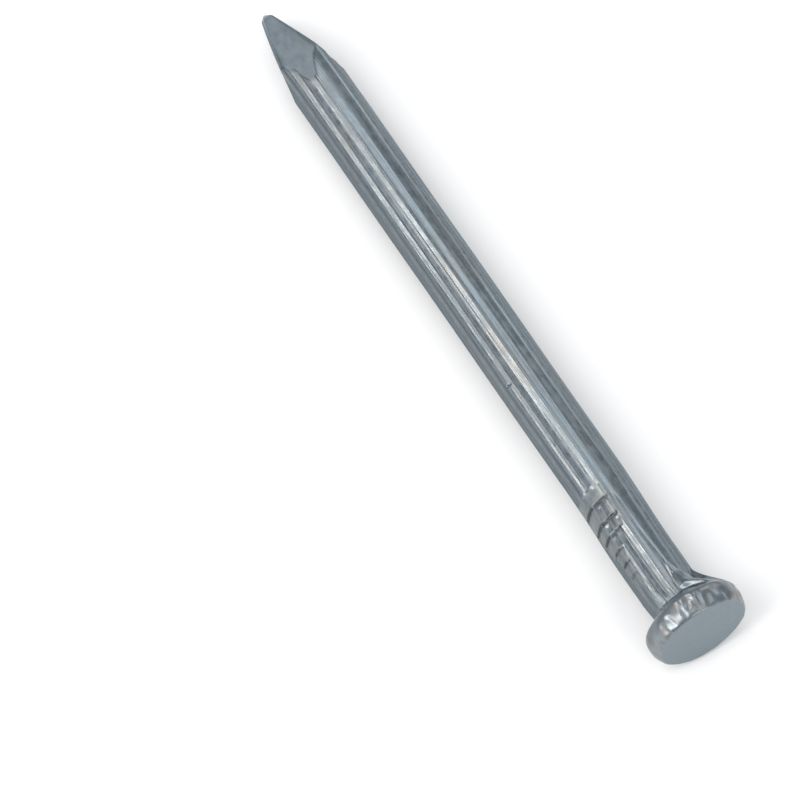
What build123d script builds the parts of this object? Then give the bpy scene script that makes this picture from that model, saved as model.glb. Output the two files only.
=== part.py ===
from build123d import *
import math
import os

# A fluted masonry nail. It lies along X: the striking face is at x = 0 and looks along +X, the point is at
# x = -LENGTH, and the shank's axis is the X axis. All sizes are in millimetres.

# Driving dimensions
LENGTH = 50.8              # striking face to tip
SHANK_RADIUS = 1.85        # over the flute ridges
FLUTE_COUNT = 8
FLUTE_DEPTH = 0.16
RIDGE_HALF_ANGLE = 6.5     # half of one ridge's worn flat top, seen from the axis
RIDGE_ANGLE = 108.4        # one ridge's direction about the axis, from +Y towards +Z

HEAD_RADIUS = 3.22         # widest part of the bulged rim
FACE_RADIUS = 2.9          # flat striking face
RIM_X = -0.95              # where the rim is widest
UNDERSIDE_X = -1.65        # where the rim turns in to the underside
UNDERSIDE_RADIUS = 3.07
NECK_X = -2.35             # where the conical underside turns in to the shank
NECK_RADIUS = 2.15
NECK_END_X = -3.0

POINT_LENGTH = 6.3
FACET_ANGLE = 105.0        # the first facet's direction about the axis; the others are at right angles
FACET_TIP = 0.34           # half the facets' spacing at the tip
NOSE_TIP = 0.12            # the last of the tip is blunted by four steeper facets
NOSE_LENGTH = 0.3
NOSE_ROOT = 0.42
TIP_OFFSET = 0.2           # the tip stands this far off the axis
TIP_OFFSET_ANGLE = 196.4

GRIP_ANGLE = 148.4         # the heading die's grip marks face this way, and the opposite way
GRIP_PLACES = (-6.0, -6.95, -8.0, -8.95, -10.2)
GRIP_DEPTH = 0.12
GRIP_HALF_ANGLE = 48.0     # the marks run out this far from their middle
GRIP_HALF_WIDTH = 0.16     # of one V-shaped mark at its mouth

WEB_THICKNESS = 0.5        # flash left in the gap between the two dies
WEB_SHANK_X = -3.9
WEB_RIM_X = -1.8
WEB_RIM_RADIUS = 2.95

PLATING = 0.02             # thickness of the zinc

OVERLAP = 0.3              # how far a joined or cutting solid runs past the surface it meets


def direction(angle):
    """The unit vector square to the nail's axis, at an angle from +Y towards +Z."""
    turn = math.radians(angle)
    return Vector(0, math.cos(turn), math.sin(turn))


def polar(radius, angle):
    """A point of the shank's section, as (y, z)."""
    turn = math.radians(angle)
    return (radius * math.cos(turn), radius * math.sin(turn))


def shank_section(grow):
    """Flat-topped ridges with straight flanks that meet in sharp grooves, all moved outwards by grow."""
    corners = []
    for flute in range(FLUTE_COUNT):
        middle = RIDGE_ANGLE + flute * 360 / FLUTE_COUNT
        corners.append(polar(SHANK_RADIUS + grow, middle - RIDGE_HALF_ANGLE))
        corners.append(polar(SHANK_RADIUS + grow, middle + RIDGE_HALF_ANGLE))
        corners.append(polar(SHANK_RADIUS - FLUTE_DEPTH + grow, middle + 180 / FLUTE_COUNT))
    return make_face(Polyline(*corners, close=True))


def shank(grow):
    """The fluted wire, from the tip to inside the head."""
    section_plane = Plane(origin=(-LENGTH - grow, 0, 0), x_dir=(0, 1, 0), z_dir=(1, 0, 0))
    return extrude(section_plane * shank_section(grow), LENGTH + UNDERSIDE_X + grow)


def head(grow):
    """Flat face, bulged rim, conical underside and a hollow curve into the shank, turned about X."""
    face = (grow, FACE_RADIUS + grow)
    rim = (RIM_X, HEAD_RADIUS + grow)
    lower_edge = (UNDERSIDE_X - grow, UNDERSIDE_RADIUS + grow)
    neck = (NECK_X - grow, NECK_RADIUS + grow)
    neck_end = (NECK_END_X - grow, SHANK_RADIUS - FLUTE_DEPTH)
    neck_middle = ((NECK_X + NECK_END_X) / 2 - 0.08 - grow, (NECK_RADIUS + SHANK_RADIUS) / 2 - 0.14 + grow)
    outline = Curve() + [
        Line((grow, 0), face),
        ThreePointArc(face, rim, lower_edge),
        Line(lower_edge, neck),
        ThreePointArc(neck, neck_middle, neck_end),
        Line(neck_end, (NECK_END_X - grow, 0)),
        Line((NECK_END_X - grow, 0), (grow, 0)),
    ]
    return revolve(make_face(outline), Axis.X)


def web(angle, grow):
    """A thin fin between the shank and the underside of the head, in the plane where the dies part."""
    outline = Polyline(
        (WEB_RIM_X, SHANK_RADIUS - OVERLAP),
        (WEB_RIM_X, WEB_RIM_RADIUS + grow),
        (WEB_SHANK_X - grow, SHANK_RADIUS - FLUTE_DEPTH / 2 + grow),
        (WEB_SHANK_X - grow, SHANK_RADIUS - OVERLAP),
        close=True,
    )
    side = direction(angle)
    web_plane = Plane(origin=(0, 0, 0), x_dir=(1, 0, 0), z_dir=Vector(1, 0, 0).cross(side))
    return extrude(web_plane * make_face(outline), WEB_THICKNESS / 2 + grow, both=True)


def facet_cutter(angle, tip_distance, root_distance, length, grow):
    """A block whose inner side is one facet, from tip_distance at the tip to root_distance at length."""
    outward = direction(angle)
    offset = direction(TIP_OFFSET_ANGLE) * TIP_OFFSET
    slope = math.atan2(root_distance - offset.dot(outward) - tip_distance, length)
    along = Vector(math.cos(slope), 0, 0) + outward * math.sin(slope)
    normal = Vector(-math.sin(slope), 0, 0) + outward * math.cos(slope)
    start = Vector(-LENGTH, 0, 0) + offset + outward * tip_distance + normal * grow
    block_plane = Plane(origin=start, x_dir=along, z_dir=normal)
    return block_plane * Box(4 * POINT_LENGTH, 4 * SHANK_RADIUS, 2 * SHANK_RADIUS,
                             align=(Align.CENTER, Align.CENTER, Align.MIN))


def grip_cutter(angle, x, grow):
    """A ring with a V edge inside. It stands off the axis, so it bites on one side of the shank only."""
    edge = SHANK_RADIUS - GRIP_DEPTH
    spread = math.cos(math.radians(GRIP_HALF_ANGLE))
    # the offset at which the ring's edge leaves the shank at the half angle
    offset = (SHANK_RADIUS**2 - edge**2) / (2 * (edge - SHANK_RADIUS * spread))
    edge_radius = edge + offset + grow
    height = 3 * GRIP_DEPTH
    half_width = GRIP_HALF_WIDTH * height / GRIP_DEPTH
    outline = Polyline(
        (x, edge_radius),
        (x + half_width, edge_radius + height),
        (x - half_width, edge_radius + height),
        close=True,
    )
    return Pos(direction(angle) * -offset) * revolve(make_face(outline), Axis.X)


def nail_body(grow):
    """The whole nail, with its surface moved outwards by grow."""
    body = shank(grow) + head(grow)
    for side in (-90, 90):
        body += web(GRIP_ANGLE + side, grow)
    for turn in range(4):
        angle = FACET_ANGLE + 90 * turn
        body -= facet_cutter(angle, FACET_TIP, SHANK_RADIUS, POINT_LENGTH, grow)
        body -= facet_cutter(angle, NOSE_TIP, NOSE_ROOT, NOSE_LENGTH, grow)
    for angle in (GRIP_ANGLE, GRIP_ANGLE + 180):
        for x in GRIP_PLACES:
            body -= grip_cutter(angle, x, grow)
    return body


def steel_core():
    return nail_body(-PLATING)


def zinc_plating():
    """The coat: what the plated nail has outside the steel."""
    return nail_body(0) - nail_body(-PLATING)


os.makedirs("parts", exist_ok=True)
export_step(steel_core(), "parts/steel_core.step")
export_step(zinc_plating(), "parts/zinc_plating.step")
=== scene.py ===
import math

import bpy
import numpy as np
from mathutils import Matrix, Vector


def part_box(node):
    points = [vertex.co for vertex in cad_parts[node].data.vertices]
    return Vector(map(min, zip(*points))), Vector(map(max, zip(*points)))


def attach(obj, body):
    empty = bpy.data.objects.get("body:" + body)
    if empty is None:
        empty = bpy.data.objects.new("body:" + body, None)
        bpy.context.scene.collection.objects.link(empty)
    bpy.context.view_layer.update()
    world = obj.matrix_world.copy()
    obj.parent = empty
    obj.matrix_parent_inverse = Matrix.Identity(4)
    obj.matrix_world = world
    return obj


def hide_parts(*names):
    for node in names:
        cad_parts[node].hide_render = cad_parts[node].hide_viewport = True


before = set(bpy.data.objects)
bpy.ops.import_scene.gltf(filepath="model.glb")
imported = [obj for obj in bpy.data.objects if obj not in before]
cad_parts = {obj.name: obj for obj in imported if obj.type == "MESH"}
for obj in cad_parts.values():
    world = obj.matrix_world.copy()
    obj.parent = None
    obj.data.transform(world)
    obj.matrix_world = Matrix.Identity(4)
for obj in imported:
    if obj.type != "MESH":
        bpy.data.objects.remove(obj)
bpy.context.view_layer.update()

# Sizes are in millimetres and angles in degrees until a mesh is made. The nail lies along X: the striking
# face is at x = 0 and the tip at x = -LENGTH. An angle about the axis runs from +Y towards +Z.
MM = 0.001
zinc_low, zinc_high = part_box("zinc_plating")
LENGTH = (zinc_high[0] - zinc_low[0]) / MM

# The direction about the axis that faces the camera, and the one a quarter turn from it
TOP_ANGLE = 107.1
SIDE_ANGLE = TOP_ANGLE - 90.0

# The fluted shank. Each side of a ridge is a straight line: (distance from the axis, direction it faces)
SHANK_RADIUS = 1.85
FLUTE_COUNT = 8
FLUTE_DEPTH = 0.2
FLUTE_FLOOR = SHANK_RADIUS - FLUTE_DEPTH
RIDGE_ANGLE = 108.4
RIDGE_SIDES = ((1.649, -33.0), (1.832, 0.0), (1.649, 33.0))
RIDGE_ROUNDING = 0.008
# The first ridge is fuller between these two directions from its middle
FULL_FLANK = (7.0, 22.6)
FULL_FLANK_SIDES = ((1.835, 15.0), (1.765, 30.0), (1.232, 65.0))
# Where the ridges leave their even spacing: (direction, degrees that they are turned by, width)
UNEVEN_RIDGES = ((150.0, 6.5, 22.0), (59.0, 5.0, 26.0), (300.0, -4.0, 25.0))
# The flutes twist a little towards the point: (x, degrees)
FLUTE_TWIST = ((-45.0, 2.6), (-15.0, 0.0))

# Deep draw lines on the shank: (degrees from TOP_ANGLE, width in degrees, depth)
DRAW_LINES = ((7.0, 1.8, 0.028), (-7.8, 1.3, 0.02), (-58.0, 2.4, 0.02), (17.0, 1.8, 0.008),
              (34.0, 3.0, 0.006), (62.0, 2.4, 0.03), (-30.0, 1.5, 0.012), (105.0, 2.4, 0.03),
              (141.0, 1.8, 0.02), (166.0, 2.6, 0.035), (-78.0, 2.0, 0.025), (-112.0, 2.4, 0.03),
              (-150.0, 2.0, 0.02))

# One small pit in the shank
PIT_X = -19.93
PIT_ANGLE = 142.0
PIT_DEPTH = 0.1
PIT_LENGTH = 0.07
PIT_STAIN_LENGTH = 0.06
PIT_WIDTH = 3.6

# The bend of the shank, from the head to the tip: (how far it moves towards SIDE_ANGLE, start, end)
SWAY_STEPS = ((-0.17, -1.5, -3.5), (0.17, -6.0, -12.5), (0.065, -16.0, -30.0), (0.045, -32.0, -42.0),
              (-0.11, -44.5, -50.0))

# The head
HEAD_RADIUS = 3.2
FACE_RADIUS = 2.88
FACE_WAVE = 0.006
UNDERSIDE_X = -1.5
UNDERSIDE_RADIUS = 3.05

# The neck runs down the shank by NECK_FLOW everywhere and by more in the directions of NECK_FLOWS:
# (direction, extra flow, width). Its cone ends at NECK_X and its hollow foot at NECK_END_X, where both move
# down the shank with the flow.
NECK_RADIUS = 2.12
NECK_FLOW = 0.12
NECK_FLOWS = ((38.0, 0.95, 34.0), (235.0, 0.6, 45.0), (300.0, 0.3, 40.0))
NECK_X = -2.0
NECK_X_SHARE = 0.5
NECK_END_X = -2.35
NECK_END_SHARE = 1.35
NECK_HOLLOW = 1.8
NECK_OVERLAP = 0.1

# How widely the neck, the webs and the point are blended into the shank
NECK_BLEND = 0.1
WEB_BLEND = 0.08
POINT_BLEND = 0.025

# Thin fins of flash where the dies part, one on each side of the neck
WEB_ANGLES = (30.0, 232.0)
WEB_END_X = -3.9
WEB_RUN = 2.1
WEB_ROOT = 1.78
WEB_RISE = 1.12
WEB_SPREAD = 14.0
WEB_DROP = 1.3

# The raised line where the dies part, which swells into a foot at the head: (x, value) along the shank
WELT_MIDDLES = ((-10.0, 88.0), (-3.9, 81.4), (-3.0, 80.0), (-2.6, 77.0), (-2.2, 68.0), (-1.8, 61.0),
                (-1.5, 58.0))
WELT_HEIGHTS = ((-10.2, 0.0), (-9.3, 0.055), (-4.5, 0.06), (-3.6, 0.15), (-3.0, 0.32), (-2.6, 0.52),
                (-2.1, 0.88), (-1.7, 1.07), (-1.5, 1.17))
WELT_LEFT_WIDTHS = ((-9.3, 3.0), (-4.5, 4.0), (-3.6, 5.0), (-3.0, 6.5), (-2.5, 9.0), (-1.8, 14.0))
WELT_RIGHT_WIDTHS = ((-9.3, 3.0), (-4.5, 4.0), (-3.6, 10.0), (-3.0, 18.0), (-1.5, 24.0))

# Forging creases on the rim: (degrees from TOP_ANGLE, width in degrees, depth, start, end), where 0 is the
# edge of the face and 1 the underside
CREASES = ((-4.5, 2.5, 0.05, 0.0, 1.0), (-22.5, 2.5, 0.05, 0.1, 0.7), (4.0, 4.0, 0.08, 0.35, 1.0),
           (11.0, 3.0, 0.06, 0.0, 0.8), (18.0, 2.5, 0.07, 0.2, 1.0), (27.0, 5.0, 0.08, 0.0, 0.65),
           (50.0, 4.0, 0.05, 0.0, 0.6), (-55.0, 6.0, 0.05, 0.2, 1.0), (-34.0, 3.0, 0.05, 0.0, 0.6))
# Where the creases on the far side of the rim are, before each is turned a little at random
FAR_CREASES = np.arange(210, 400, 9.0)

# The teeth of the heading dies mark two opposite sides. Each mark ends at a steep wall:
# (x of the wall, how hard the tooth bit, half the width in degrees)
GRIP_ANGLE = 148.4
GRIP_START = -4.3
GRIP_MARKS = ((-5.1, 0.45, 16.0), (-6.0, 0.85, 18.0), (-6.95, 0.8, 19.0), (-8.0, 0.9, 34.0),
              (-8.95, 1.0, 44.0), (-10.2, 1.0, 48.0))
GRIP_END = -11.2
GRIP_END_REACH = 50.0
GRIP_FLOOR = 0.07
GRIP_CUT_DEPTH = 0.15
GRIP_RAMP_CURVE = 1.5
FAR_GRIP_SHIFT = 0.4
# The marks' ends are ragged by some degrees and their walls wobble along x. Their pressed floor and the
# painted shade at their walls fade out over these degrees before the end, and both are gone MARK_EDGE past
# it.
END_RAGGED = 5.0
WALL_WOBBLE = 0.035
PRESSED_FADE = 9.0
WALL_SHADE_FADE = 4.0
MARK_EDGE = 2.0
# How fully a mark covers the flutes: at the least, how much more at a full bite, and past the last wall
COVER_LEAST = 0.25
COVER_BITE = 0.45
COVER_END = 0.9
CHIP_HEIGHT = 0.1
CHIP_FROM_WALL = 0.24
CHIP_LENGTH = 0.12
LIP_HEIGHT = 0.05
LIP_LENGTH = 0.1
# Painted shade: a dark band at the foot of each tooth's wall, this far from the wall and this long
WALL_SHADE_X = 0.01
WALL_SHADE_LENGTH = 0.09

# The four-sided point, whose tip stands off the axis
POINT_LENGTH = 6.3
FACET_ANGLE = 105.0
FACET_ROUNDINGS = (0.2, 0.55, 0.2, 0.2)
FACET_TIP = 0.31
FACET_SWELL = 0.05
FACET_LEAN = 0.4
NOSE_TIP = 0.08
NOSE_LENGTH = 0.3
NOSE_ROOT = 0.37
NOSE_ROUNDING = 0.12
TIP_OFFSET = 0.2
TIP_OFFSET_ANGLE = 196.4

# The meshes. The last ring stands just short of the tip, and OUTSIDE is farther out than any of the nail
COLUMNS = 264
FACE_ROWS = 25
RIM_ROWS = 44
TIP_GAP = 0.002
OUTSIDE = 9.0
CORE_INSET = 0.04

# Colours of the zinc and of the steel
ZINC_COOL = (0.226, 0.270, 0.300)
ZINC_WARM = (0.262, 0.272, 0.270)
ZINC_PALE = (0.33, 0.365, 0.385)
ZINC_STREAK = (0.155, 0.185, 0.205)
# Painted shade for the bottoms of the flutes
ZINC_GROOVE_SHADE = (0.10, 0.125, 0.145)
# Painted shade for the sides of the shank and the shoulders of the rim
ZINC_SIDE_SHADE = (0.13, 0.16, 0.18)
ZINC_PAD = (0.36, 0.365, 0.35)
ZINC_STAIN = (0.17, 0.15, 0.14)
ZINC_FACE = (0.21, 0.255, 0.29)
# Pale colour of the facets, also painted as light on the underside of the head
ZINC_FACET_AND_UNDERSIDE_LIGHT = (0.345, 0.41, 0.455)
# Painted shade at the grip walls, and grime in the pit and along the edge of the point
WALL_SHADE_AND_GRIME = (0.03, 0.035, 0.04)
STEEL_DARK = (0.30, 0.30, 0.31)
STEEL_LIGHT = (0.42, 0.42, 0.44)

# The camera, which aims to the left of the nail's middle and below it
NAIL_MIDDLE = Vector((-25.0, 0, 0))
CAMERA_AZIMUTH = 57.71
CAMERA_ELEVATION = 60.0
CAMERA_DISTANCE = 550.0
CAMERA_LENS = 407.1
CAMERA_AIM_LEFT = 5.05
CAMERA_AIM_DOWN = 4.79

# The head's rim rests on the floor at this x
RIM_X = -0.95

# The studio, in metres and watts. A soft box is (name, direction from the nail, size, power, colour)
FLOOR_REACH = 3.0
FLOOR_COLOUR = (0.9, 0.9, 0.9)
FLOOR_ROUGHNESS = 0.8
ROOM_COLOUR = (0.47, 0.50, 0.53)
WHITE = (1.0, 1.0, 1.0)
WARM_WHITE = (1.0, 0.97, 0.94)
LAMP_WHITE = (1.0, 0.89, 0.81)
SOFT_BOX_DISTANCE = 0.9
SOFT_BOXES = (
    ("strip", (-0.45, -0.276, 0.85), (0.28, 0.22), 0.9, LAMP_WHITE),
    ("card", (-0.423, 0.738, 0.526), (0.35, 0.54), 0.82, WHITE),
    ("front", (0.05, -0.78, 0.62), (0.45, 0.9), 4.8, WARM_WHITE),
    ("top", (0.12, 0.134, 0.98), (0.45, 0.6), 0.95, WARM_WHITE),
    ("edge", (0.79, 0.21, 0.59), (0.3, 0.6), 1.7, WARM_WHITE),
)
FILL_DISTANCE = 1.2


def smoothstep(low, high, value):
    t = np.clip((value - low) / (high - low), 0, 1)
    return t * t * (3 - 2 * t)


def smooth_min(a, b, width):
    mix = np.clip(0.5 + 0.5 * (b - a) / width, 0, 1)
    return b + (a - b) * mix - width * mix * (1 - mix)


def smooth_max(a, b, width):
    return -smooth_min(-a, -b, width)


def wrap(angle):
    """Degrees brought to -180..180."""
    return (angle + 180) % 360 - 180


def bell(value, width):
    """1 where the value is 0, falling off smoothly on both sides of it."""
    return np.exp(-((value / width) ** 2))


def hump(angle, middle, width):
    """1 in one direction about the axis, falling off smoothly on both sides of it."""
    return bell(wrap(angle - middle), width)


def humps(angle, rows):
    """Several humps added up: (direction, height, width) each."""
    return sum(height * hump(angle, middle, width) for middle, height, width in rows)


def along(x, stations):
    """A value that goes straight from each (x, value) station to the next."""
    places, values = zip(*stations)
    return np.interp(x, places, values)


def ripple(x, angle, seed, turns, waves, count=14):
    """Smooth noise of about -1..1 that closes round the axis: turns is round it and waves per mm along it."""
    rng = np.random.default_rng(seed)
    turn = np.radians(angle)
    total = np.zeros(np.broadcast(x, angle).shape)
    for _ in range(count):
        around = rng.integers(-turns, turns + 1)
        onward = rng.uniform(-waves, waves) * 2 * math.pi
        total += rng.uniform(0.5, 1) * np.sin(around * turn + onward * x + rng.uniform(0, 2 * math.pi))
    return total / math.sqrt(count)


def ridge_radius(angle, sides):
    """The radius of a ridge made of straight sides, where angle is counted from the ridge's middle."""
    radius = np.full(np.shape(angle), SHANK_RADIUS)
    for distance, facing in sides:
        radius = smooth_min(radius, distance / np.cos(np.radians(angle - facing)), RIDGE_ROUNDING)
    return radius


def section(angle):
    """The fluted shank's radius in each direction: worn flat ridges with straight flanks between them."""
    pitch = 360 / FLUTE_COUNT
    turned = angle + humps(angle, UNEVEN_RIDGES) - RIDGE_ANGLE
    radius = ridge_radius((turned + pitch / 2) % pitch - pitch / 2, RIDGE_SIDES)
    from_first = wrap(angle - RIDGE_ANGLE)
    full = ridge_radius(from_first, FULL_FLANK_SIDES)
    on_flank = (from_first > FULL_FLANK[0]) & (from_first < FULL_FLANK[1])
    return np.where(on_flank, np.maximum(radius, full), radius)


def inside_mark(off, reach, fade):
    """1 inside a grip mark, fading to 0 just past its half width."""
    return 1 - smoothstep(reach - fade, reach + MARK_EDGE, off)


def grip_teeth(x, angle):
    """How deep the heading dies bite, how fully they flatten the flutes, and the painted shade at each wall's
    foot: (depth, cover, shade).

    Each tooth leaves a steep wall that faces the head. A ramp climbs from the wall's foot towards the head,
    with small raised chips near the wall. Past the last wall a shallow pad ends in a ragged lip.
    """
    shape = np.broadcast(x, angle).shape
    depth, cover, wall_shade_and_grime = np.zeros(shape), np.zeros(shape), np.zeros(shape)
    for side, shift in ((0, 0.0), (180, FAR_GRIP_SHIFT)):
        ragged = END_RAGGED * ripple(x, angle, seed=51 + side, turns=6, waves=0.3)
        off = np.abs(wrap(angle - GRIP_ANGLE - side + ragged))
        place = x + shift + WALL_WOBBLE * ripple(0 * x, angle, seed=52 + side, turns=12, waves=0)
        rough = np.clip(ripple(0.6 * x, angle, seed=53 + side, turns=22, waves=0.5) + 0.25, 0, 1)
        mine = off < 90
        start = GRIP_START
        for wall, bite, reach in GRIP_MARKS:
            inside = inside_mark(off, reach, PRESSED_FADE)
            here = (place > wall) & (place <= start) & mine
            climb = np.clip((place - wall) / (start - wall), 0, 1)
            tooth = GRIP_FLOOR + GRIP_CUT_DEPTH * bite * (1 - climb) ** GRIP_RAMP_CURVE
            depth = np.where(here, tooth * inside, depth)
            chips = CHIP_HEIGHT * bite * inside * bell(place - wall - CHIP_FROM_WALL, CHIP_LENGTH)
            depth = depth - chips * rough
            cover = np.where(here, inside * (COVER_LEAST + COVER_BITE * bite), cover)
            # Painted shade along the foot of each wall, where the wall's shadow falls
            dark = inside_mark(off, reach, WALL_SHADE_FADE) * min(1.3 * bite, 1.0)
            wall_shade_and_grime = np.maximum(wall_shade_and_grime, dark * bell(place - wall - WALL_SHADE_X, WALL_SHADE_LENGTH))
            start = wall
        pad = (place <= start) & (place > GRIP_END) & mine
        inside = inside_mark(off, GRIP_END_REACH, PRESSED_FADE)
        depth = np.where(pad, depth + GRIP_FLOOR * inside, depth)
        cover = np.where(pad, inside * COVER_END, cover)
        torn = np.clip(ripple(0 * x, angle, seed=54 + side, turns=20, waves=0), 0, 1)
        depth = depth - LIP_HEIGHT * inside * bell(place - GRIP_END, LIP_LENGTH) * torn
    return depth, cover, wall_shade_and_grime


def press_grips(fluted, x, angle):
    """The shank's radius once the dies have flattened the flutes and bitten into them."""
    depth, cover, _ = grip_teeth(x, angle)
    return fluted + (SHANK_RADIUS - depth - fluted) * cover


def head_profile(x, angle):
    """The underside of the head and its neck, as a radius at each x behind the rim.

    The neck runs farthest down the shank where the dies part, and least under the grips.
    """
    flow = NECK_FLOW + humps(angle, NECK_FLOWS)
    neck_x = NECK_X - NECK_X_SHARE * flow
    end_x = NECK_END_X - NECK_END_SHARE * flow
    foot = FLUTE_FLOOR - NECK_OVERLAP
    cone = NECK_RADIUS + (UNDERSIDE_RADIUS - NECK_RADIUS) * (x - neck_x) / (UNDERSIDE_X - neck_x)
    fade = np.clip((x - end_x) / (neck_x - end_x), 0, 1)
    hollow = foot + (NECK_RADIUS - foot) * fade**NECK_HOLLOW
    return np.where(x > neck_x, np.minimum(cone, UNDERSIDE_RADIUS), hollow)


def web_radius(x, angle):
    """The crest of each web climbs to the head, and its sides drop away from the crest."""
    crest = WEB_ROOT + WEB_RISE * np.clip((x - WEB_END_X) / WEB_RUN, 0, 1.1) ** 1.25
    radius = np.zeros(np.broadcast(x, angle).shape)
    for middle in WEB_ANGLES:
        off = np.abs(wrap(angle - middle))
        radius = np.maximum(radius, crest - WEB_DROP * (off / WEB_SPREAD) ** 1.5)
    return radius


def welt_height(x, angle):
    """How far the parting line stands out, with its own width on each side."""
    off = wrap(angle - along(x, WELT_MIDDLES))
    width = np.where(off > 0, along(x, WELT_LEFT_WIDTHS), along(x, WELT_RIGHT_WIDTHS))
    return along(x, WELT_HEIGHTS) * bell(off, width)


def facet_radius(x, angle):
    """The pyramid point about its own centre line: four slightly swelling facets and a blunt nose."""
    radius = np.full(np.broadcast(x, angle).shape, OUTSIDE)
    least_cosine = 0.05
    from_tip = x + LENGTH
    share = np.clip(from_tip / POINT_LENGTH, 0, 1)
    nose = NOSE_TIP + (NOSE_ROOT - NOSE_TIP) * from_tip / NOSE_LENGTH
    for turn, rounding in enumerate(FACET_ROUNDINGS):
        facing = FACET_ANGLE + 90 * turn
        lean = TIP_OFFSET * (1 - share) * math.cos(math.radians(TIP_OFFSET_ANGLE - facing))
        distance = FACET_TIP + (SHANK_RADIUS - FACET_TIP) * from_tip / POINT_LENGTH
        distance = distance + FACET_SWELL * np.sin(share * math.pi) - FACET_LEAN * lean * share
        distance = smooth_min(distance, nose, NOSE_ROUNDING)
        cosine = np.cos(np.radians(wrap(angle - facing)))
        reach = np.where(cosine > least_cosine, distance / np.maximum(cosine, least_cosine), OUTSIDE)
        radius = smooth_min(radius, reach, rounding)
    return radius


def draw_lines(x, angle):
    """How deep the draw lines are. Each drifts a little about the axis and fades in and out along it."""
    depth = np.zeros(np.broadcast(x, angle).shape)
    for index, (offset, width, line_depth) in enumerate(DRAW_LINES):
        drift = 0.5 * np.sin(x * 0.11 + index)
        fade = 0.65 + 0.35 * np.sin(x * (0.21 + 0.03 * index) + 2.1 * index)
        depth += line_depth * fade * hump(angle, TOP_ANGLE - offset + drift, width)
    return depth


def pit(x, angle, length):
    """1 in the middle of the pit, falling off round it."""
    return bell(x - PIT_X, length) * hump(angle, PIT_ANGLE, PIT_WIDTH)


def shank_stations():
    """Places along the shank, closest where the shape changes fastest."""
    # (start, end, how many rings) for each span
    spans = (
        (UNDERSIDE_X, -3.4, 42),
        (-3.4, -5.2, 18),
        (-5.2, -11.6, 96),
        (-11.6, PIT_X + 0.3, 13),
        (PIT_X + 0.3, PIT_X - 0.3, 12),
        (PIT_X - 0.3, -43.8, 36),
        (-43.8, -LENGTH + 0.5, 66),
        (-LENGTH + 0.5, -LENGTH + TIP_GAP, 14),
    )
    places = [np.linspace(start, end, count, endpoint=False) for start, end, count in spans]
    return np.concatenate(places + [[-LENGTH + TIP_GAP]])


def tip_shift(x):
    """How far the point's own centre line has left the axis."""
    return TIP_OFFSET * np.clip(1 - (x + LENGTH) / POINT_LENGTH, 0, 1)


def shank_surface(angle):
    """Everything behind the rim: (x, radius) rings from the underside of the head to the tip."""
    x, angle = np.meshgrid(shank_stations(), angle, indexing="ij")
    shank = section(angle + along(x, FLUTE_TWIST))
    shank += 0.006 * ripple(x, angle, seed=3, turns=11, waves=0.03)
    shank += 0.003 * ripple(x, angle, seed=4, turns=30, waves=0.1)
    shank = press_grips(shank - draw_lines(x, angle), x, angle)
    shank += welt_height(x, angle) - PIT_DEPTH * pit(x, angle, PIT_LENGTH)
    behind = smooth_max(shank, head_profile(x, angle), NECK_BLEND)
    behind = smooth_max(behind, web_radius(x, angle), WEB_BLEND)
    marks = 0.02 * ripple(x, angle, seed=8, turns=12, waves=0.5)
    marks += 0.016 * ripple(0.3 * x, angle, seed=9, turns=40, waves=0.3)
    behind += marks * smoothstep(-3.6, -2.2, x)
    behind -= tip_shift(x) * np.cos(np.radians(angle - TIP_OFFSET_ANGLE))
    return x, smooth_min(behind, facet_radius(x, angle), POINT_BLEND)


def face_outline(angle):
    """The edge of the striking face is a little ragged."""
    ragged = 0.035 * ripple(0, angle, seed=21, turns=5, waves=0)
    return FACE_RADIUS + ragged + 0.028 * ripple(0, angle, seed=22, turns=30, waves=0)


def creases(turn, angle):
    """Short folds that run from the face's edge, where turn is 0, towards the underside, where it is 1."""
    rng = np.random.default_rng(61)
    folds = [(TOP_ANGLE - offset, width, depth, low, high) for offset, width, depth, low, high in CREASES]
    for direction in FAR_CREASES:
        width, depth = rng.uniform(2, 5), rng.uniform(0.01, 0.07)
        folds.append((direction + rng.uniform(-4, 4), width, depth, rng.uniform(0, 0.5), rng.uniform(0.6, 1)))
    total = np.zeros(np.broadcast(turn, angle).shape)
    for index, (direction, width, depth, low, high) in enumerate(folds):
        lean = (turn - 0.5) * 9 * math.sin(index * 2.4)
        window = smoothstep(low - 0.15, low + 0.15, turn) * (1 - smoothstep(high - 0.2, high + 0.1, turn))
        total += depth * window * hump(angle, direction + lean, width)
    return total


def head_surface(angle):
    """Flat face from its centre out, then the bulged rim back to the underside: (x, radius) rings."""
    edge = face_outline(angle)
    face_r = np.linspace(0, 1, FACE_ROWS + 1)[1:, None] ** 0.8 * edge
    face_x = FACE_WAVE * ripple(0.7 * face_r, angle, seed=31, turns=3, waves=0.5) * (1 - face_r / 3)
    turn = np.linspace(0, 1, RIM_ROWS + 2)[1:-1, None]
    rim_x = np.broadcast_to(turn * UNDERSIDE_X, (RIM_ROWS, angle.size))
    full = HEAD_RADIUS + 0.03 * ripple(0, angle, seed=23, turns=4, waves=0)
    bulge = (full - (edge + UNDERSIDE_RADIUS) / 2) * np.sqrt(1 - (2 * turn - 1) ** 2)
    rim_r = edge + (UNDERSIDE_RADIUS - edge) * turn + bulge
    bumps = 0.035 * ripple(rim_x, angle, seed=41, turns=9, waves=0.5)
    bumps += 0.012 * ripple(rim_x, angle, seed=42, turns=34, waves=0.7)
    window = np.sqrt(np.sin(turn * math.pi))
    rim_r += window * (bumps - creases(turn, angle))
    return np.concatenate([face_x, rim_x]), np.concatenate([face_r, rim_r])


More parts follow.
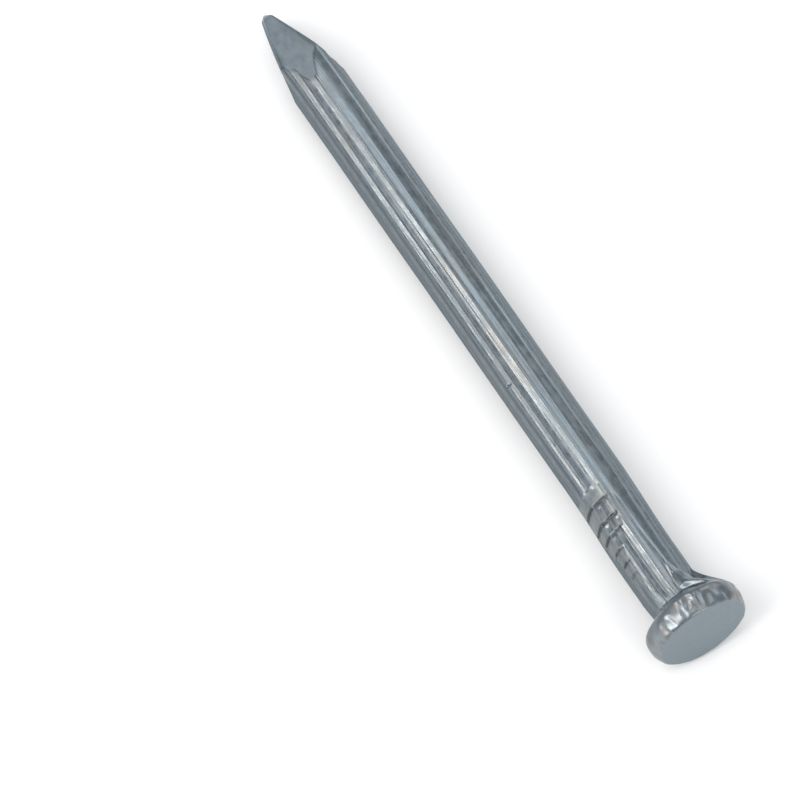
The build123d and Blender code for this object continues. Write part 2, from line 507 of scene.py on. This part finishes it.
def nail_surface(step):
    """The whole surface as rings from the face's centre to the tip: (x, radius, angle) at each point.

    Only every step-th column of points is made.
    """
    angle = RIDGE_ANGLE + np.arange(0, COLUMNS, step) * 360 / COLUMNS
    head_x, head_r = head_surface(angle)
    shank_x, shank_r = shank_surface(angle)
    x = np.concatenate([head_x, shank_x])
    r = np.concatenate([head_r, shank_r])
    return x, r, np.broadcast_to(angle, x.shape)


def sway(x):
    """How far the shank's middle has left the axis towards SIDE_ANGLE."""
    return sum(shift * smoothstep(start, end, x) for shift, start, end in SWAY_STEPS)


def ring_points(x, r, angle):
    """The rings as points, moved off the axis by the shank's bend and the point's lean."""
    y = r * np.cos(np.radians(angle))
    z = r * np.sin(np.radians(angle))
    for shift, direction in ((sway(x), SIDE_ANGLE), (tip_shift(x), TIP_OFFSET_ANGLE)):
        y += shift * math.cos(math.radians(direction))
        z += shift * math.sin(math.radians(direction))
    return np.stack([x, y, z], -1)


def ring_mesh(name, x, r, angle):
    """A closed mesh of rings about the axis, capped at both ends."""
    rows, columns = x.shape
    rings = ring_points(x, r, angle)
    caps = np.stack([rings[0].mean(axis=0), rings[-1].mean(axis=0)])
    verts = np.concatenate([rings.reshape(-1, 3), caps]) * MM
    row, column = np.meshgrid(np.arange(rows - 1), np.arange(columns), indexing="ij")
    near = (row * columns + column).ravel()
    after = (row * columns + (column + 1) % columns).ravel()
    quads = np.stack([near, near + columns, after + columns, after], -1)
    ring = np.arange(columns)
    following = (ring + 1) % columns
    last = (rows - 1) * columns
    face_cap = np.stack([np.full(columns, rows * columns), ring, following], -1)
    tip_cap = np.stack([np.full(columns, rows * columns + 1), last + following, last + ring], -1)
    mesh = bpy.data.meshes.new(name)
    mesh.from_pydata(verts.tolist(), [], quads.tolist() + face_cap.tolist() + tip_cap.tolist())
    mesh.update()
    mesh.shade_smooth()
    return mesh


def surface_masks(x, r, angle):
    """Where the zinc is drawn, pressed, burnished or dirty, and where shade or light is painted into its
    colour: a number at every point, 1 where it is so.
    """
    ring = np.arange(len(x))[:, None] * np.ones_like(x)
    turn = wrap(angle - TOP_ANGLE)
    welt = welt_height(x, angle)
    facet = facet_radius(x, angle)
    _, cover, wall_shade = grip_teeth(x, angle)

    on_shank = smoothstep(-1.8, -2.6, x)
    near_point = x < POINT_LENGTH - LENGTH + 1
    on_point = smoothstep(0.03, -0.005, facet - r) * near_point
    off_point = 1 - on_point
    rim_end = smoothstep(UNDERSIDE_X - 0.1, UNDERSIDE_X + 0.2, x)

    # The facets are paler between their worn corners. The underside of the head beside the welt gets the same
    # pale colour as painted light, lifting its shade
    corner = np.abs((angle - FACET_ANGLE) % 90 - 45)
    underside_light = smoothstep(UNDERSIDE_X + 0.03, UNDERSIDE_X - 0.1, x) * smoothstep(1.9, 2.1, r) * (x > -2.6)
    facets_and_underside_light = np.maximum(on_point * smoothstep(3, 11, corner), underside_light * (1 - np.clip(welt / 0.2, 0, 1)))

    # Painted shade: the zinc is darker on the sides and back of the shank, turned away from TOP_ANGLE, and on
    # the shoulders of the rim. It is darker on the welt as well
    side_shade = np.maximum(smoothstep(31, 44, turn), 0.6 * smoothstep(42, 54, -turn))
    side_shade = np.maximum(side_shade, np.clip(welt / 0.4, 0, 0.6)) * on_shank
    shoulder_shade = 0.6 * smoothstep(22, 45, np.abs(turn)) * smoothstep(-0.5, -1.1, x) * (1 - on_shank)

    # The painted shade at the grip walls, the pit's stain and a dark line along the edge of the point
    edge_grime = 0.55 * bell(facet - r - 0.05, 0.03) * near_point
    wall_shade_and_grime = np.maximum(np.maximum(wall_shade, pit(x, angle, PIT_STAIN_LENGTH)), edge_grime)
    # Painted shade at the bottoms of the flutes, where the dies have not pressed them flat
    height = np.clip((r - FLUTE_FLOOR) / FLUTE_DEPTH, 0, 1)
    return {
        "drawn": on_shank * off_point,
        "matt": ring < FACE_ROWS,
        "facet": facets_and_underside_light,
        "side": np.maximum(side_shade, shoulder_shade),
        "pad": np.minimum(cover, 0.6) * on_shank,
        "groove_shade": (1 - height) * (1 - cover) * on_shank * off_point,
        "wall_shade_and_grime": wall_shade_and_grime * on_shank,
        "rim": (ring >= FACE_ROWS) * rim_end,
    }


def add_mask(mesh, name, values):
    """A number at every point, for the material to read."""
    layer = mesh.attributes.new(name, "FLOAT", "POINT")
    full = np.concatenate([values.ravel(), [values[0].mean(), values[-1].mean()]])
    layer.data.foreach_set("value", np.clip(full, 0, 1).astype(np.float32))


class Graph:
    """Short names for building one material's nodes."""

    def __init__(self, name):
        self.material = bpy.data.materials.new(name)
        self.material.use_nodes = True
        self.tree = self.material.node_tree
        self.shader = self.tree.nodes["Principled BSDF"]
        self.shader.inputs["Metallic"].default_value = 1.0
        self.place = self.tree.nodes.new("ShaderNodeTexCoord").outputs["Object"]

    def node(self, kind, **values):
        made = self.tree.nodes.new("ShaderNode" + kind)
        for key, value in values.items():
            setattr(made, key, value)
        return made

    def link(self, source, target):
        self.tree.links.new(source, target)

    def noise(self, scale, detail=3.0, rough=0.5):
        """Noise whose grain is scale grains per metre along X, Y and Z."""
        stretch = self.node("Mapping")
        stretch.inputs["Scale"].default_value = scale
        texture = self.node("TexNoise")
        texture.inputs["Scale"].default_value = 1.0
        texture.inputs["Detail"].default_value = detail
        texture.inputs["Roughness"].default_value = rough
        self.link(self.place, stretch.inputs["Vector"])
        self.link(stretch.outputs["Vector"], texture.inputs["Vector"])
        return texture.outputs["Fac"]

    def mask(self, name):
        return self.node("Attribute", attribute_name=name).outputs["Fac"]

    def math(self, operation, a, b=0.0, c=0.0):
        made = self.node("Math", operation=operation)
        for socket, value in zip(made.inputs, (a, b, c)):
            if isinstance(value, (int, float)):
                socket.default_value = value
            else:
                self.link(value, socket)
        return made.outputs["Value"]

    def remap(self, value, low, high, to_low, to_high):
        made = self.node("MapRange")
        for name, number in (("From Min", low), ("From Max", high), ("To Min", to_low), ("To Max", to_high)):
            made.inputs[name].default_value = number
        self.link(value, made.inputs["Value"])
        return made.outputs["Result"]

    def blend(self, factor, first, second):
        made = self.node("Mix", data_type="RGBA")
        self.link(factor, made.inputs[0])
        for socket, value in ((made.inputs[6], first), (made.inputs[7], second)):
            if isinstance(value, tuple):
                socket.default_value = (*value, 1.0)
            else:
                self.link(value, socket)
        return made.outputs[2]

    def bump(self, height, distance, strength, before=None):
        made = self.node("Bump")
        made.inputs["Distance"].default_value = distance
        made.inputs["Strength"].default_value = strength
        self.link(height, made.inputs["Height"])
        if before is not None:
            self.link(before, made.inputs["Normal"])
        return made.outputs["Normal"]


class Zinc(Graph):
    """Blue-grey zinc: draw lines along the shank, painted shade in the grooves, on the sides and at the grip
    walls, painted light under the head, worn face, facets and grips.
    """

    def __init__(self):
        super().__init__("zinc_plating")
        self.lines = self.noise((90, 11000, 11000), 2.0)
        self.broad_lines = self.noise((60, 2600, 2600), 2.0)
        self.mottle = self.noise((1500, 2600, 2600), 4.0, 0.6)
        self.grain = self.noise((16000, 16000, 16000), 2.0)
        self.patch = self.noise((260, 700, 700), 3.0, 0.6)
        self.drawn, self.matt, self.facet = self.mask("drawn"), self.mask("matt"), self.mask("facet")
        self.pad = self.mottled(self.mask("pad"), 0.35, 0.65, 0.1, 0.65)
        self.link(self.colour(), self.shader.inputs["Base Color"])
        self.link(self.roughness(), self.shader.inputs["Roughness"])
        self.link(self.normal(), self.shader.inputs["Normal"])

    def mottled(self, mask, low, high, to_low, to_high):
        """A mask broken up by the mottle."""
        return self.math("MULTIPLY", mask, self.remap(self.mottle, low, high, to_low, to_high))

    def colour(self):
        """Each layer of colour covers the ones before it by its own factor."""
        streaks = self.math("MULTIPLY", self.remap(self.broad_lines, 0.48, 0.72, 0, 0.7), self.drawn)
        # Painted shade in the flute bottoms
        groove_shade = self.remap(self.mask("groove_shade"), 0.75, 1.0, 0, 0.4)
        layers = (
            (self.remap(self.patch, 0.45, 0.7, 0, 0.7), ZINC_WARM),
            (self.remap(self.mottle, 0.35, 0.7, 0, 0.55), ZINC_PALE),
            (streaks, ZINC_STREAK),
            (self.mottled(groove_shade, 0.3, 0.6, 0.6, 1.0), ZINC_GROOVE_SHADE),
            # Painted shade on the sides of the shank and the shoulders of the rim
            (self.mask("side"), ZINC_SIDE_SHADE),
            (self.pad, ZINC_PAD),
            # Painted shade at the grip walls, with grime in the pit and along the edge of the point
            (self.math("MULTIPLY", self.mask("wall_shade_and_grime"), 0.85), WALL_SHADE_AND_GRIME),
            (self.mottled(self.mask("rim"), 0.42, 0.62, 0, 0.55), ZINC_STAIN),
            (self.mottled(self.matt, 0.3, 0.7, 0.95, 0.45), ZINC_FACE),
            # Pale facets, and painted light on the underside of the head
            (self.math("MULTIPLY", self.facet, 0.7), ZINC_FACET_AND_UNDERSIDE_LIGHT),
        )
        colour = ZINC_COOL
        for factor, layer in layers:
            colour = self.blend(factor, colour, layer)
        return colour

    def roughness(self):
        rough = self.math("MULTIPLY_ADD", self.matt, 0.16, 0.3)
        for mask, change in ((self.drawn, -0.03), (self.facet, 0.12), (self.pad, 0.12)):
            rough = self.math("MULTIPLY_ADD", mask, change, rough)
        rough = self.math("ADD", rough, self.remap(self.mottle, 0.3, 0.7, -0.09, 0.12))
        return self.math("MULTIPLY_ADD", self.remap(self.lines, 0.3, 0.7, -0.06, 0.1), self.drawn, rough)

    def normal(self):
        """Bumps from coarse lines to fine grain: (height, distance in metres, strength)."""
        bumps = (
            (self.math("MULTIPLY", self.lines, self.drawn), 0.00002, 0.5),
            (self.math("MULTIPLY", self.broad_lines, self.drawn), 0.00004, 0.35),
            (self.mottle, 0.00002, 0.25),
            (self.grain, 0.000006, 0.3),
        )
        normal = None
        for height, distance, strength in bumps:
            normal = self.bump(height, distance, strength, normal)
        return normal


def steel_material():
    """Hardened steel wire under the zinc."""
    g = Graph("steel")
    lines = g.noise((90, 9000, 9000), 2.0)
    g.link(g.blend(lines, STEEL_DARK, STEEL_LIGHT), g.shader.inputs["Base Color"])
    g.link(g.remap(lines, 0.3, 0.7, 0.32, 0.5), g.shader.inputs["Roughness"])
    return g.material


def add_object(name, data):
    made = bpy.data.objects.new(name, data)
    bpy.context.scene.collection.objects.link(made)
    return made


def add_piece(mesh, material, node):
    piece = add_object(mesh.name, mesh)
    mesh.materials.append(material)
    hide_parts(node)
    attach(piece, "root")


def make_coat():
    x, r, angle = nail_surface(1)
    mesh = ring_mesh("zinc_coat", x, r, angle)
    for name, values in surface_masks(x, r, angle).items():
        add_mask(mesh, name, values)
    add_piece(mesh, Zinc().material, "zinc_plating")


def make_wire():
    """The steel inside the coat: the same surface, drawn in a little everywhere."""
    x, r, angle = nail_surface(2)
    r = r - np.minimum(CORE_INSET, r * 0.5)
    x = np.clip(x, CORE_INSET - LENGTH, -CORE_INSET)
    add_piece(ring_mesh("steel_wire", x, r, angle), steel_material(), "steel_core")


def make_floor():
    """A plain pale floor, tilted so that the rim of the head and the end of the shank both rest on it."""
    slope = (HEAD_RADIUS - SHANK_RADIUS) / (LENGTH - POINT_LENGTH + RIM_X)
    mesh = bpy.data.meshes.new("floor")
    corners = []
    for side_x, side_y in ((-1, -1), (1, -1), (1, 1), (-1, 1)):
        x = side_x * FLOOR_REACH
        corners.append((x, side_y * FLOOR_REACH, -HEAD_RADIUS * MM + (RIM_X * MM - x) * slope))
    mesh.from_pydata(corners, [], [(0, 1, 2, 3)])
    paint = bpy.data.materials.new("floor")
    paint.use_nodes = True
    shader = paint.node_tree.nodes["Principled BSDF"]
    shader.inputs["Base Color"].default_value = (*FLOOR_COLOUR, 1)
    shader.inputs["Roughness"].default_value = FLOOR_ROUGHNESS
    mesh.materials.append(paint)
    floor = add_object("floor", mesh)


def make_camera():
    """The camera looks down at the nail from beyond its head."""
    azimuth, elevation = math.radians(CAMERA_AZIMUTH), math.radians(CAMERA_ELEVATION)
    level = math.cos(elevation)
    back = Vector((math.sin(azimuth) * level, -math.cos(azimuth) * level, math.sin(elevation)))
    right = Vector((math.cos(azimuth), math.sin(azimuth), 0))
    up = back.cross(right)
    data = bpy.data.cameras.new("camera")
    data.lens = CAMERA_LENS
    camera = add_object("camera", data)
    camera.location = (NAIL_MIDDLE + back * CAMERA_DISTANCE) * MM
    target = (NAIL_MIDDLE - right * CAMERA_AIM_LEFT - up * CAMERA_AIM_DOWN) * MM
    camera.rotation_euler = (target - camera.location).to_track_quat("-Z", "Y").to_euler()
    bpy.context.scene.camera = camera


def area_light(name, direction, distance, size, power, colour):
    """A soft box looking at the middle of the nail, its first side as near along X as it can lie."""
    data = bpy.data.lights.new(name, "AREA")
    data.shape = "RECTANGLE"
    data.size, data.size_y = size
    data.energy = power
    data.color = colour
    light = add_object(name, data)
    back = Vector(direction).normalized()
    light.location = NAIL_MIDDLE * MM + back * distance
    side = Vector((1, 0, 0))
    side = (side - back * side.dot(back)).normalized()
    light.rotation_euler = Matrix((side, back.cross(side), back)).transposed().to_euler()
    return light


def make_world():
    """An evenly lit pale room."""
    world = bpy.data.worlds.new("studio")
    world.use_nodes = True
    world.node_tree.nodes["Background"].inputs["Color"].default_value = (*ROOM_COLOUR, 1)
    bpy.context.scene.world = world


def make_lights():
    """Soft boxes that the zinc mirrors, and one broad fill that it doesn't."""
    make_world()
    for name, direction, size, power, colour in SOFT_BOXES:
        area_light(name, direction, SOFT_BOX_DISTANCE, size, power, colour)
    fill = area_light("fill", (0.3, -0.5, 0.8), FILL_DISTANCE, (1.0, 1.0), 4.5, WHITE)
    fill.visible_glossy = False


bpy.context.scene.view_settings.view_transform = "Standard"
make_camera()
make_floor()
make_coat()
make_wire()
make_lights()
